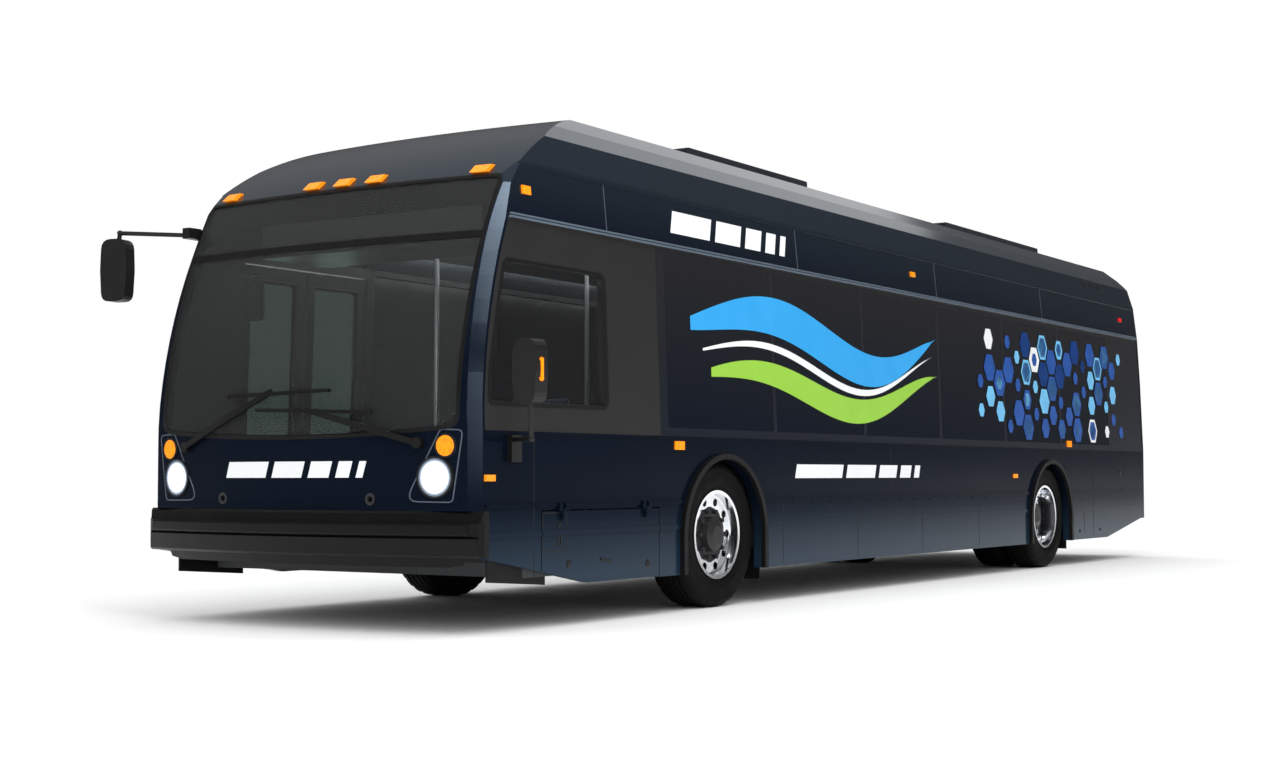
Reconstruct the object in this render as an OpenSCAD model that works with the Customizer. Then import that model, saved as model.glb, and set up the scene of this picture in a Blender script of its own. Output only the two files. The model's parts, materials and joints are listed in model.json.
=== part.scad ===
// Low-floor electric city bus with hollow cabin, steered front wheels, swing doors and lids.
// Millimetres; +X forward, +Y left, +Z up; the road is at z = 0 and the origin is mid length.

/* [Overall] */
// front axle to the foremost point of the bumper
front_overhang = 2860; // [2600:10:3000]
// front axle to rear axle
wheelbase = 6200; // [5600:10:6800]
// rear axle to the hindmost point of the bumper
rear_overhang = 2990; // [2700:10:3200]
// width over the side walls
body_w = 2590; // [2500:10:2600]
// height of the roof's crown above the road
roof_z = 3172; // [3120:1:3250]

/* [Walls] */
// lower edge of the skirts
skirt_z = 245; // [220:5:300]
// ledge under the side windows
belt_z = 1143; // [1100:1:1180]
// roof crown down to the gutter rail over the side windows
gutter_drop = 802; // [770:1:830]
// roof crown down to the foot of the roof fairings
cove_drop = 452; // [430:1:470]
// half width at the gutter rail
gutter_y = 1250; // [1230:5:1270]
// half width at the foot of the roof fairings
cove_y = 1215; // [1200:5:1225]
// half width at the crease of the roof fairings
crease_y = 1170; // [1150:5:1190]
// half width at the ridge of the roof fairings
ridge_y = 975; // [940:5:1000]
// thickness of walls and roof
wall_t = 60; // [50:1:70]
// thickness of the front pillars, measured along the bus
pillar_t = 70; // [60:1:80]
// thickness of window panes
pane_t = 8; // [5:1:10]

/* [Front] */
// bow of the front face seen from above
bow_r = 8650; // [7000:10:12000]
// curve of the windscreen seen from the side
screen_r = 3300; // [3000:50:3600]
// height where the windscreen curve begins
screen_z = 1050; // [1000:10:1100]
// curve of the roof dome over the windscreen
dome_r = 2200; // [2000:50:2400]
// nose to the middle of the roof dome
dome_back = 1845; // [1800:5:1900]
// width of the bevel down the front corners
corner_w = 60; // [40:1:64]
// half width of the windscreen opening
screen_y = 1172; // [1150:1:1180]
// lower edge of the windscreen at the middle
screen_low = 1115; // [1105:1:1130]
// radius of the windscreen's sagging lower edge
screen_arc = 13500; // [11000:100:16000]
// rounding of the windscreen's corners
screen_round = 80; // [50:5:100]
// upper edge of the front bumper
bumper_top = 693; // [680:1:700]
// lower edge of the front bumper
bumper_low = 432; // [420:1:440]

/* [Wheels] */
// rolling radius, also the height of the wheel centres
tyre_r = 490; // [480:1:500]
// width of one tyre
tyre_w = 290; // [280:5:305]
// middle of an outer tyre from the middle of the bus
tyre_y = 1110; // [1090:5:1120]
// spacing of the rear twins
twin_gap = 340; // [330:5:350]
// bore of the tyre
bead_r = 286; // [284:1:290]
// kingpin from the middle of the bus
kingpin_y = 960; // [950:5:970]
// radius of the wheel arches
arch_r = 515; // [505:1:540]
// width of the trims round the wheel arches
trim_w = 47; // [35:1:60]

/* [Floor and doors] */
// upper face of the low floor
floor_z = 380; // [360:5:400]
// upper face of the rear deck
deck_z = 940; // [900:5:960]
// rear axle forward to the step of the rear deck
deck_lead = 885; // [850:5:950]
// width of a doorway
door_w = 1200; // [1100:10:1250]
// lower edge of the doorways
door_low = 345; // [330:5:350]
// gap round door leaves and lids
leaf_gap = 8; // [6:1:10]
// thickness of door leaves and lids
leaf_t = 45; // [40:1:50]

/* [Hidden] */
overall = front_overhang + wheelbase + rear_overhang;
nose_x = overall / 2 - 80;
tail_x = 90 - overall / 2;
front_axle_x = overall / 2 - front_overhang;
rear_axle_x = front_axle_x - wheelbase;
half_w = body_w / 2;
bow_x = nose_x - bow_r;
far = 7000;
gutter_z = roof_z - gutter_drop;
cove_z = roof_z - cove_drop;
ceiling_z = cove_z - 220;
sign_bar_z = cove_z - 450;
screen_top = cove_z - 90;
deck_x = rear_axle_x + deck_lead;
// hinge axes stand this far out from the skin, with pin and eye radii
hinge_out = 18;
hinge_pin = 6;
hinge_eye = 12;
// running clearance of pins and hubs, and seating clearance of plates that meet
run = 0.05;
seat_gap = 0.3;
dome_x = bow_r - dome_back;
seam_x = nose_x - dome_back - 300;
fairing_y = ridge_y - 95;
arch_z = tyre_r - 5;
arch_top = arch_z + arch_r;
well_in = 620;
rear_well_in = 580;
well_long = arch_r + 110;
plate_t = 20;

// doorways of the right side: rear edge and front edge
front_door_x = nose_x - 1985;
rear_door_x = rear_axle_x + deck_lead + 150;
doorways = [[front_door_x, front_door_x + door_w], [rear_door_x, rear_door_x + door_w - 50]];
door_high = gutter_z - 70;

// side windows: rear edge and front edge, spread evenly between two ends
window_post = 50;
window_ends = [tail_x + 1135, nose_x - 2085];
function window_row(x, n) = let (pitch = (x[1] - x[0] + window_post) / n)
    [for (i = [0:n - 1]) [x[0] + i * pitch, x[0] + (i + 1) * pitch - window_post]];
left_windows = window_row(window_ends, 6);
right_windows = concat(window_row([window_ends[0], rear_door_x - 120], 2),
    window_row([rear_door_x + door_w + 400, front_door_x - 80], 3));
window_low = belt_z + 57;
window_high = gutter_z - 40;

// hatch in the left skirt and lid in the rear wall
hatch_x = [nose_x - 1970, nose_x - 695];
hatch_z = [skirt_z + 3, bumper_top - 3];
lid_y = 850;
lid_z = [bumper_top + 37, gutter_z - 620];

// Body form

module block(x, y, z) {
    translate([x[0], y[0], z[0]]) cube([x[1] - x[0], y[1] - y[0], z[1] - z[0]]);
}

// front face and roof as radius from the bow's axis against height, drawn in by d
module front_profile(d) {
    intersection() {
        square([bow_r - d, roof_z - d]);
        union() {
            translate([bow_r - screen_r, screen_z]) circle(r = screen_r + 6 - d, $fn = 256);
            square([bow_r - screen_r, 2 * roof_z]);
            square([2 * bow_r, screen_z]);
        }
        union() {
            translate([dome_x, roof_z - dome_r]) circle(r = dome_r + 6 - d, $fn = 256);
            square([dome_x, 2 * roof_z]);
            square([2 * bow_r, roof_z - dome_r]);
        }
    }
}

module front_turned(d) {
    translate([bow_x, 0, 0]) rotate_extrude($fn = 256) front_profile(d);
}

// skin of the front face between two depths
module front_skin(d0, d1) {
    difference() {
        front_turned(d0);
        front_turned(d1);
    }
}

// half of the cross-section, drawn in by d: walls, fairing with crease and ridge, roof crown
function half_section(d) = [
    [half_w - d, 0],
    [half_w - d, belt_z],
    [gutter_y - d, gutter_z],
    [cove_y - d, cove_z],
    [crease_y - d, roof_z - 252 - d / 4],
    [crease_y - 85 - d, roof_z - 147 - d / 2],
    [ridge_y - d, roof_z - 46 - d],
    [ridge_y - 75 - d, roof_z - 38 - d],
    [ridge_y / 2 - d, roof_z - 11 - d],
    [0, roof_z + 4 - d]];

function mirrored(points) = concat(points,
    [for (i = [len(points) - 1:-1:0]) if (points[i][0] > 0) [-points[i][0], points[i][1]]]);

module section_prism(d) {
    rotate([90, 0, 90]) translate([0, 0, -far]) linear_extrude(2 * far)
        polygon(mirrored(concat([[0, 0]], half_section(d))));
}

// rear face seen from the side, drawn in by d
module tail_prism(d) {
    points = [
        [tail_x + d, 0],
        [tail_x + d, gutter_z - 470],
        [tail_x + 50 + d, cove_z],
        [tail_x + 120 + d, roof_z - 220 - d / 2],
        [tail_x + 320 + d, roof_z - 50 - d],
        [tail_x + 620 + d, roof_z + 20 - d],
        [far, roof_z + 20 - d],
        [far, 0]];
    rotate([90, 0, 0]) translate([0, 0, -far]) linear_extrude(2 * far) polygon(points);
}

// how far the front face leans back from the nose at a height
function lean(z) = max(0,
    screen_r - sqrt(pow(screen_r + 6, 2) - pow(max(0, z - screen_z), 2)),
    dome_back - sqrt(pow(dome_r + 6, 2) - pow(max(0, z - roof_z + dome_r), 2)));

// half width of the body at a height, and width of the corner bevel there
function side_y(z) = lookup(z, [[belt_z, half_w], [gutter_z, gutter_y], [cove_z, cove_y]]);
function bevel_w(z) = lookup(z, [[gutter_z, corner_w], [cove_z, corner_w / 5]]);

// distance along the corner's diagonal at which the bevel lies
function bevel_reach(z) = let (y = side_y(z) - bevel_w(z))
    (bow_x + sqrt(pow(bow_r - lean(z), 2) - y * y) + y) / sqrt(2);

// everything behind the bevel of one front corner
module corner_prism(side) {
    steps = 12;
    heights = concat([0], [for (i = [0:steps]) screen_z + i * (cove_z + 1 - screen_z) / steps]);
    points = concat([[-far, cove_z + 1], [-far, 0]], [for (z = heights) [bevel_reach(z), z]]);
    rotate([0, 0, side * 45]) rotate([90, 0, 0]) translate([0, 0, -far]) linear_extrude(2 * far)
        polygon(points);
}

// whole body, drawn in by d
module body(d) {
    intersection() {
        front_turned(d);
        section_prism(d);
        tail_prism(d);
    }
}

// body behind the front pillars and before the rear wall
module middle(d) {
    intersection() {
        front_turned(pillar_t);
        section_prism(d);
        tail_prism(wall_t);
    }
}

// one side wall between two heights; side is 1 on the left and -1 on the right
module wall(side, z) {
    difference() {
        intersection() {
            middle(0);
            block([-far, far], side > 0 ? [0, far] : [-far, 0], z);
        }
        section_prism(wall_t);
    }
}

// thing on the side skin between two depths, cut to a box
module side_skin(d0, d1, x, z, side) {
    difference() {
        intersection() {
            section_prism(d0);
            block(x, side > 0 ? [600, far] : [-far, -600], z);
        }
        section_prism(d1);
    }
}

// outline in the XZ plane, cut across one side
module side_cut(side) {
    translate([0, side > 0 ? far : -500, 0]) rotate([90, 0, 0]) linear_extrude(far - 500) children();
}

// wheel arch outline: a round top on straight legs
module arch(x, r, z) {
    translate([x, z]) circle(r = r, $fn = 96);
    translate([x - r + 2, -10]) square([2 * r - 4, z + 10]);
}

// corner at p between a and b, rounded by r
function round_corner(a, p, b, r) = r == 0 ? [p] :
    let (u = (a - p) / norm(a - p), v = (b - p) / norm(b - p), t = r / tan(acos(u * v) / 2))
    [for (k = [0:0.25:1]) pow(1 - k, 2) * (p + u * t) + 2 * k * (1 - k) * p + k * k * (p + v * t)];

function flat(p) = [p[0], p[1]];

// outline whose corners are given as place, place and rounding
function rounded(points) = let (n = len(points)) [for (i = [0:n - 1])
    each round_corner(flat(points[(i + n - 1) % n]), flat(points[i]),
        flat(points[(i + 1) % n]), points[i][2])];

// rail along one side between two heights, standing out from the skin
module rail(side, z, out) {
    difference() {
        intersection() {
            middle(-out);
            block([-far, far], side > 0 ? [0, far] : [-far, 0], z);
        }
        section_prism(0);
    }
}

// Side walls

// belt ledge and rub rails: lower edge, upper edge, how far they stand out
skirt_rails = [[belt_z - 16, belt_z, 7], [bumper_top + 14, bumper_top + 36, 9], [540, 572, 7]];

module skirt(side) {
    difference() {
        union() {
            wall(side, [skirt_z, belt_z]);
            difference() {
                for (r = skirt_rails) rail(side, [r[0], r[1]], r[2]);
                for (x = [front_axle_x, rear_axle_x]) side_cut(side) arch(x, arch_r + trim_w, arch_z - 10);
            }
        }
        for (x = [front_axle_x, rear_axle_x]) side_cut(side) arch(x, arch_r, arch_z);
        upswept_ends(side);
    }
}

// skirts rise towards both bumpers
module upswept_ends(side) {
    front = [nose_x - 1191, nose_x - 179];
    rear = [tail_x + 1233, tail_x + 183];
    side_cut(side)
        polygon([[front[0], 0], [front[0], skirt_z], [front[1], skirt_z + 180], [far, 640], [far, 0]]);
    side_cut(side)
        polygon([[rear[0], 0], [rear[0], skirt_z], [rear[1], skirt_z + 165], [-far, 610], [-far, 0]]);
}

module left_skirt() color("midnightblue") {
    difference() {
        skirt(1);
        block(hatch_x, [0, far], [0, hatch_z[1]]);
    }
    hatch_hinge_places() hinge_fixed();
}

module right_skirt() color("midnightblue") {
    difference() {
        skirt(-1);
        for (d = doorways) block(d, [-far, 0], [door_low, far]);
    }
    for (d = doorways) {
        door_hinge_places(d[1], -1) hinge_fixed();
        door_hinge_places(d[0], 1) hinge_fixed();
    }
}

// driver's window follows the leaning front pillar
driver_low = belt_z + 160;
driver_high = gutter_z - 247;
driver_window = rounded([
    [nose_x - 1395, driver_low, 50],
    [nose_x - 210, driver_low - 8, 30],
    [nose_x - 230, driver_low + (driver_high - driver_low) / 4, 0],
    [nose_x - 385, driver_high, 60],
    [nose_x - 1395, driver_high, 60]]);

module left_side() color("midnightblue") difference() {
    wall(1, [belt_z, gutter_z]);
    for (w = left_windows) block(w, [0, far], [window_low, window_high]);
    side_cut(1) polygon(driver_window);
}

module right_side() color("midnightblue") difference() {
    wall(-1, [belt_z, gutter_z]);
    for (w = right_windows) block(w, [-far, 0], [window_low, window_high]);
    for (d = doorways) block(d, [-far, 0], [0, door_high]);
}

module coves() color("midnightblue") {
    for (side = [-1, 1]) {
        wall(side, [gutter_z, cove_z]);
        rail(side, [gutter_z, gutter_z + 14], 18);
        rail(side, [gutter_z + 22, gutter_z + 34], 10);
        rail(side, [cove_z - 20, cove_z], 8);
    }
}

module side_windows() color("darkslategray") {
    for (w = left_windows) side_skin(2, 2 + pane_t, w, [window_low, window_high], 1);
    for (w = right_windows) side_skin(2, 2 + pane_t, w, [window_low, window_high], -1);
    intersection() {
        side_skin(6, 6 + pane_t, [nose_x - 1945, nose_x], [belt_z, gutter_z], 1);
        side_cut(1) polygon(driver_window);
    }
}

// Roof

module roof_shell(x, y) {
    difference() {
        intersection() {
            body(0);
            block(x, y, [cove_z, far]);
        }
        body(wall_t);
    }
}

module roof() color("midnightblue") roof_shell([-far, seam_x], [-fairing_y, fairing_y]);

module roof_fairings() color("midnightblue") {
    roof_shell([-far, seam_x], [fairing_y, far]);
    roof_shell([-far, seam_x], [-far, -fairing_y]);
}

// two low covers on the roof: rear edge and front edge
roof_unit_x = [[front_axle_x - 1985, front_axle_x - 185], [rear_axle_x - 795, rear_axle_x + 1535]];
roof_unit_top = roof_z + 25;

module roof_units() color("dimgray") difference() {
    for (x = roof_unit_x) translate([0, fairing_y + 15, 0]) rotate([90, 0, 0])
        linear_extrude(2 * fairing_y + 30)
        polygon(rounded([
            [x[0], roof_z - 90, 0],
            [x[1], roof_z - 90, 0],
            [x[1], roof_unit_top, 20],
            [x[0], roof_unit_top, 20]]));
    body(0);
}

module front_cap() color("midnightblue") roof_shell([seam_x, far], [-far, far]);

module ceiling() color("lightgray") intersection() {
    middle(wall_t);
    block([-far, nose_x - 945], [-far, far], [ceiling_z, ceiling_z + 30]);
}

// Front

module front_part(z) {
    difference() {
        intersection() {
            front_turned(0);
            section_prism(0);
            corner_prism(1);
            corner_prism(-1);
            block([0, far], [-far, far], z);
        }
        front_turned(pillar_t);
    }
}

// outline in the YZ plane, cut through the front
module front_cut() {
    translate([nose_x - 1600, 0, 0]) rotate([90, 0, 90]) linear_extrude(2000) children();
}

// lower edge of the windscreen: height at an offset from the middle
function sag(y, z) = z + y * y / (2 * screen_arc);

// everything below a line that runs alongside the windscreen's lower edge
module below_screen(z) {
    front_cut() polygon(concat([[1400, 0], [-1400, 0]], [for (y = [-1400:200:1400]) [y, sag(y, z)]]));
}

screen_outline = rounded(concat(
    [[-screen_y, sag(screen_y, screen_low), screen_round]],
    [for (y = [-900:200:900]) [y, sag(y, screen_low), 0]],
    [[screen_y, sag(screen_y, screen_low), screen_round],
     [screen_y, sign_bar_z - 8, 12],
     [-screen_y, sign_bar_z - 8, 12]]));
sign_outline = rounded([
    [-screen_y, sign_bar_z + 8, 12],
    [screen_y, sign_bar_z + 8, 12],
    [screen_y, screen_top, screen_round / 2],
    [-screen_y, screen_top, screen_round / 2]]);

// the frame meets the nose panel this far below the glass
frame_low = screen_low - 22;

module screen_frame() color("midnightblue") difference() {
    front_part([bumper_top, cove_z]);
    below_screen(frame_low);
    front_cut() polygon(screen_outline);
    front_cut() polygon(sign_outline);
}

module front_glass() color("darkslategray") {
    for (outline = [screen_outline, sign_outline]) intersection() {
        front_skin(6, 6 + pane_t);
        front_cut() polygon(outline);
    }
}

// head, turn and fog places of the front: offset from the middle, height, radius
lamp_places = [[1029, 881, 108], [1098, 1058, 58]];
tow_y = 587;
tow_z = 757;

module lamp_post(y, z, r) {
    for (side = [-1, 1]) translate([nose_x - 1400, side * y, z]) rotate([0, 90, 0])
        cylinder(r = r, h = 1800, $fn = 48);
}

module front_mask() color("midnightblue") difference() {
    intersection() {
        front_part([bumper_top, belt_z + 60]);
        below_screen(frame_low);
    }
    for (p = lamp_places) lamp_post(p[0], p[1], p[2]);
    lamp_post(tow_y, tow_z, 36);
}

module headlamps() color("white") intersection() {
    front_skin(-8, pillar_t);
    lamp_post(lamp_places[0][0], lamp_places[0][1], lamp_places[0][2]);
}

module tow_sockets() color("dimgray") {
    for (side = [-1, 1]) translate([nose_x - 105, side * tow_y, tow_z]) rotate([0, 90, 0]) difference() {
        cylinder(r = 36, h = 90, $fn = 48);
        translate([0, 0, -10]) cylinder(r = 18, h = 110, $fn = 48);
    }
}

// bumper with three bands, turned about its own bow axis
bumper_bow = 5500;
bumper_y = half_w + 30;
bumper_mid = (bumper_low + bumper_top) / 2;
bumper_bands = [
    [-190, bumper_low],
    [-44, bumper_low],
    [-20, bumper_low + 14],
    [-12, bumper_mid - 24],
    [-24, bumper_mid - 16],
    [-3, bumper_mid - 6],
    [0, bumper_mid],
    [0, bumper_mid + 48],
    [-4, bumper_mid + 58],
    [-28, bumper_mid + 66],
    [-30, bumper_mid + 78],
    [-36, bumper_top - 14],
    [-50, bumper_top],
    [-190, bumper_top]];
bumper_lip = [[-190, bumper_low - 56], [-110, bumper_low - 56], [-84, bumper_low], [-190, bumper_low]];

function bumper_x(y) = overall / 2 - bumper_bow + sqrt(bumper_bow * bumper_bow - y * y);

module bumper_turned(profile) {
    translate([overall / 2 - bumper_bow, 0, 0]) rotate_extrude($fn = 256)
        polygon([for (p = profile) [bumper_bow + p[0], p[1]]]);
}

// plan of the bumper with its rounded ends
module bumper_plan(y) {
    half = [
        [nose_x - 168, y],
        [bumper_x(y) - 44, y],
        [bumper_x(y) - 12, y - 22],
        [bumper_x(y) + 12, y - 70],
        [overall / 2 + 100, y - 70]];
    linear_extrude(1000) polygon(concat(half, [for (i = [len(half) - 1:-1:0]) [half[i][0], -half[i][1]]]));
}

module front_bumper() color("black") difference() {
    union() {
        intersection() {
            bumper_turned(bumper_bands);
            bumper_plan(bumper_y);
        }
        intersection() {
            bumper_turned(bumper_lip);
            bumper_plan(bumper_y - 160);
        }
    }
    middle(0);
}

// the sign stands this far behind the front face, at its upper edge
sign_back = 316;
sign_deep = 600;
sign_x = nose_x - round(lean(ceiling_z)) - sign_back;

module sign_box() color("black")
    block([sign_x - sign_deep, sign_x], [-900, 900], [sign_bar_z + 20, ceiling_z]);

// five roof lamps over the windscreen
roof_lamp_y = [-1014, -252, 0, 252, 1014];

// side lamps: place along the bus, height, length, height of the lens
side_lamps = [[nose_x - lean(gutter_z + 182) - 267, gutter_z + 182, 80, 50],
    [front_axle_x - 3200, gutter_z + 188, 80, 40]];
side_reflectors = [[nose_x - 205, 877, 90, 36], [front_axle_x + 573, 1085, 110, 55],
    [rear_axle_x + 905, 882, 90, 36], [rear_axle_x - 542, belt_z + 55, 110, 60]];

module amber_lamps() color("orange") {
    intersection() {
        front_skin(-10, pillar_t);
        lamp_post(lamp_places[1][0], lamp_places[1][1], lamp_places[1][2]);
    }
    for (y = roof_lamp_y) intersection() {
        front_skin(-22, 0);
        block([nose_x - lean(cove_z) - 200, far], [y - 55, y + 55], [cove_z - 65, cove_z - 15]);
    }
    for (side = [-1, 1], p = concat(side_lamps, side_reflectors))
        side_skin(-12, 0, [p[0] - p[2] / 2, p[0] + p[2] / 2], [p[1] - p[3] / 2, p[1] + p[3] / 2], side);
}

// mirrors: place of the head, height of its lower edge, height and turn
mirror_y = half_w + 305;
mirror_w = 200;
mirror_t = 90;
low_head = [nose_x - 175, belt_z + 142, 355];
high_head = [nose_x - 65, gutter_z - 365, 400];
arm_r = 14;

module mirror_head(x, side, z, h) {
    w = mirror_w / 2;
    translate([x, side * mirror_y, z]) rotate([0, 0, -side * 12]) translate([-mirror_t / 2, 0, 0])
        rotate([90, 0, 90]) linear_extrude(mirror_t) polygon(rounded([
            [-w + 12, 0, 60], [w - 12, 0, 60], [w, h / 2, 0],
            [w - 8, h, 70], [8 - w, h, 70], [-w, h / 2, 0]]));
}

// round bar between two points
module arm(a, b) {
    d = b - a;
    translate(a) rotate([0, acos(d[2] / norm(d)), atan2(d[1], d[0])])
        cylinder(r = arm_r, h = norm(d), $fn = 24);
}

module mirrors() color("black") difference() {
    union() {
        low_mirror();
        high_mirror();
    }
    intersection() {
        front_turned(0);
        section_prism(0);
    }
}

// low mirror on the left: bracket on the skirt, arm, post and head
module low_mirror() {
    z = belt_z - 50;
    head = [low_head[0], mirror_y, low_head[1] + 60];
    bend = [low_head[0] - 40, mirror_y - 20, z];
    root = [nose_x - 415, half_w - 5, z];
    mirror_head(low_head[0], 1, low_head[1], low_head[2]);
    arm(bend, head);
    arm(root, bend);
    translate(bend) sphere(r = arm_r + 5, $fn = 24);
    block([nose_x - 465, nose_x - 370], [half_w - 5, half_w + 34], [z - 126, z + 26]);
}

// high mirror on the right: arm from the pillar, bent down to the head
module high_mirror() {
    z = gutter_z + 76;
    head = [high_head[0], -mirror_y, high_head[1] + high_head[2] - 60];
    bend = [high_head[0] - 10, -mirror_y + 10, z];
    root = [nose_x - lean(z) - 177, -side_y(z) + 30, z];
    mirror_head(high_head[0], -1, high_head[1], high_head[2]);
    arm(head, bend);
    arm(root, bend);
    translate(bend) sphere(r = arm_r + 5, $fn = 24);
    block([root[0] - 20, root[0] + 180], [-side_y(z) - 22, -side_y(z) + 40], [z - 34, z + 34]);
}

// wiper arms and blades in the YZ plane: two ends and width
wiper_bars = [
    [[924, 1075], [128, 1275], 34],
    [[610, 1252], [-280, 1282], 22],
    [[-930, 1070], [-164, 1389], 34],
    [[-526, 1368], [295, 1385], 22]];

module bar_outline(a, b, w) {
    long = norm(b - a);
    translate(a) rotate(atan2(b[1] - a[1], b[0] - a[0])) translate([0, -w / 2]) square([long, w]);
}

module wipers() color("black") {
    intersection() {
        front_skin(-34, -14);
        front_cut() for (b = wiper_bars) bar_outline(b[0], b[1], b[2]);
    }
    intersection() {
        front_skin(-34, -0.7);
        front_cut() for (b = [wiper_bars[0], wiper_bars[2]]) translate(b[0]) circle(r = 32, $fn = 32);
    }
}

// Rear

module rear_wall() color("midnightblue") {
    difference() {
        intersection() {
            section_prism(0);
            tail_prism(0);
            block([-far, 0], [-far, far], [bumper_low - 12, cove_z]);
        }
        tail_prism(wall_t);
        block([-far, 0], [-lid_y, lid_y], lid_z);
    }
    lid_hinge_places() hinge_fixed();
}

module rear_lid() color("midnightblue") {
    block([tail_x, tail_x + leaf_t], [-lid_y + leaf_gap, lid_y - leaf_gap],
        [lid_z[0] + leaf_gap, lid_z[1] - leaf_gap]);
    lid_hinge_places() hinge_moving();
}

module rear_bumper() color("black")
    block([-overall / 2, tail_x], [55 - half_w, half_w - 55], [bumper_low - 2, bumper_top - 3]);

rear_lamp_z = [820, 1000, 1180];

module red_lamps() color("red") {
    for (side = [-1, 1], z = rear_lamp_z)
        translate([tail_x, side * (half_w - 215), z]) rotate([0, -90, 0]) cylinder(r = 70, h = 16, $fn = 40);
    for (side = [-1, 1])
        side_skin(-12, 0, [tail_x + 536, tail_x + 616], [gutter_z + 170, gutter_z + 210], side);
    for (y = [-120, 0, 120]) block([tail_x - 12, tail_x], [y - 45, y + 45], [lid_z[1] + 90, lid_z[1] + 120]);
}

// Doors and lids

module skirt_hatch() color("midnightblue") {
    difference() {
        side_skin(0, leaf_t, [hatch_x[0] + leaf_gap, hatch_x[1] - leaf_gap],
            [hatch_z[0], hatch_z[1] - leaf_gap], 1);
        upswept_ends(1);
    }
    side_skin(-7, 0, [hatch_x[0] + leaf_gap, hatch_x[1] - leaf_gap], [540, 572], 1);
    hatch_hinge_places() hinge_moving();
}

// hinge in its own frame: the axis is z, the fixed side lies towards -x and the leaf towards +x,
// and the skin of both lies hinge_out along +y
module hinge_fixed() {
    for (z = [-46, 16]) block([-40, 0], [-hinge_pin, hinge_out], [z, z + 30]);
    translate([0, 0, -46]) cylinder(r = hinge_pin, h = 92, $fn = 24);
    for (z = [-46, 16]) translate([0, 0, z]) cylinder(r = hinge_pin + 2, h = 30, $fn = 24);
}

module hinge_moving() difference() {
    union() {
        translate([0, 0, -10]) cylinder(r = hinge_eye, h = 20, $fn = 24);
        block([0, 60], [-6, 6], [-10, 10]);
        block([20, 60], [-6, hinge_out], [-10, 10]);
    }
    translate([0, 0, -20]) cylinder(r = hinge_pin + run, h = 40, $fn = 24);
}

// hinges of one door leaf at the jamb x; way is 1 where the leaf lies forward of the jamb
hinge_heights = [520, 1020];
module door_hinge_places(x, way) {
    for (z = hinge_heights) translate([x, -half_w - hinge_out, z]) scale_way(way) children();
}

module scale_way(way) {
    if (way > 0) children();
    else mirror([1, 0, 0]) children();
}

module lid_hinge_places() {
    for (y = [350 - lid_y, lid_y - 350]) translate([tail_x - hinge_out, y, lid_z[1]])
        rotate([-90, 0, 0]) rotate(90) mirror([0, 1, 0]) children();
}

module hatch_hinge_places() {
    for (x = [hatch_x[0] + 175, hatch_x[1] - 200])
        translate([x, half_w + hinge_out, hatch_z[1]])
        rotate([0, 90, 0]) mirror([0, 1, 0]) children();
}

leaf_mid = 26;
module door_leaf(x) {
    z = [door_low + leaf_gap, door_high - leaf_gap];
    difference() {
        side_skin(0, leaf_t, x, z, -1);
        side_skin(-20, leaf_t + 20, [x[0] + 70, x[1] - 70], [z[0] + 120, z[1] - 90], -1);
    }
    side_skin(16, 16 + pane_t, [x[0] + 70, x[1] - 70], [z[0] + 120, z[1] - 90], -1);
}

function leaf_fore(d) = [(d[0] + d[1] + leaf_mid) / 2, d[1] - leaf_gap];
function leaf_aft(d) = [d[0] + leaf_gap, (d[0] + d[1] - leaf_mid) / 2];

module fore_leaf(d) color("dimgray") {
    door_leaf(leaf_fore(d));
    door_hinge_places(d[1], -1) hinge_moving();
}

module aft_leaf(d) color("dimgray") {
    door_leaf(leaf_aft(d));
    door_hinge_places(d[0], 1) hinge_moving();
}

module front_door_fore() fore_leaf(doorways[0]);
module front_door_aft() aft_leaf(doorways[0]);
module rear_door_fore() fore_leaf(doorways[1]);
module rear_door_aft() aft_leaf(doorways[1]);

// Floor

inner_w = half_w - wall_t;
floor_front = nose_x - 595;

// block on one side of the bus, given for the left
module side_block(side, x, y, z) {
    block(x, side > 0 ? y : [-y[1], -y[0]], z);
}

// wheel well as four plates: top, inner, front and rear, with a notch for an axle
module well(x, y_in, side, z, notch) {
    top = arch_top + 30;
    ends = [x - well_long, x + well_long];
    side_block(side, ends, [y_in - plate_t, inner_w], [top, top + plate_t]);
    difference() {
        side_block(side, ends, [y_in - plate_t, y_in], [z, top - seat_gap]);
        if (notch > 0) side_block(side, [x - notch, x + notch], [0, y_in + 1], [0, tyre_r + notch]);
    }
    for (e = [ends[0], ends[1] - plate_t])
        side_block(side, [e, e + plate_t], [y_in + seat_gap, inner_w], [z, top - seat_gap]);
}

// low floor, step and rear deck as plates round the wheel wells
module floor_frame() color("dimgray") {
    low = [floor_z - 80, floor_z];
    deck = [deck_z - 40, deck_z];
    front_well = [front_axle_x - well_long, front_axle_x + well_long];
    rear_well = [rear_axle_x - well_long, rear_axle_x + well_long];
    full = [-inner_w, inner_w];
    narrow = [plate_t + seat_gap - well_in, well_in - plate_t - seat_gap];
    rear_narrow = [plate_t + seat_gap - rear_well_in, rear_well_in - plate_t - seat_gap];
    block([front_well[1] + seat_gap, floor_front], full, low);
    block([front_well[0], front_well[1]], narrow, low);
    block([deck_x + seat_gap, front_well[0] - seat_gap], full, low);
    block([deck_x - plate_t, deck_x], full, [floor_z - 80, deck[0] - seat_gap]);
    block([rear_well[1] + seat_gap, deck_x], full, deck);
    block(rear_well, rear_narrow, deck);
    block([tail_x + wall_t, rear_well[0] - seat_gap], full, deck);
    for (side = [-1, 1]) {
        well(front_axle_x, well_in, side, floor_z - 80, 0);
        well(rear_axle_x, rear_well_in, side, floor_z - 80, 120);
    }
}

trim_out = 34;

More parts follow.
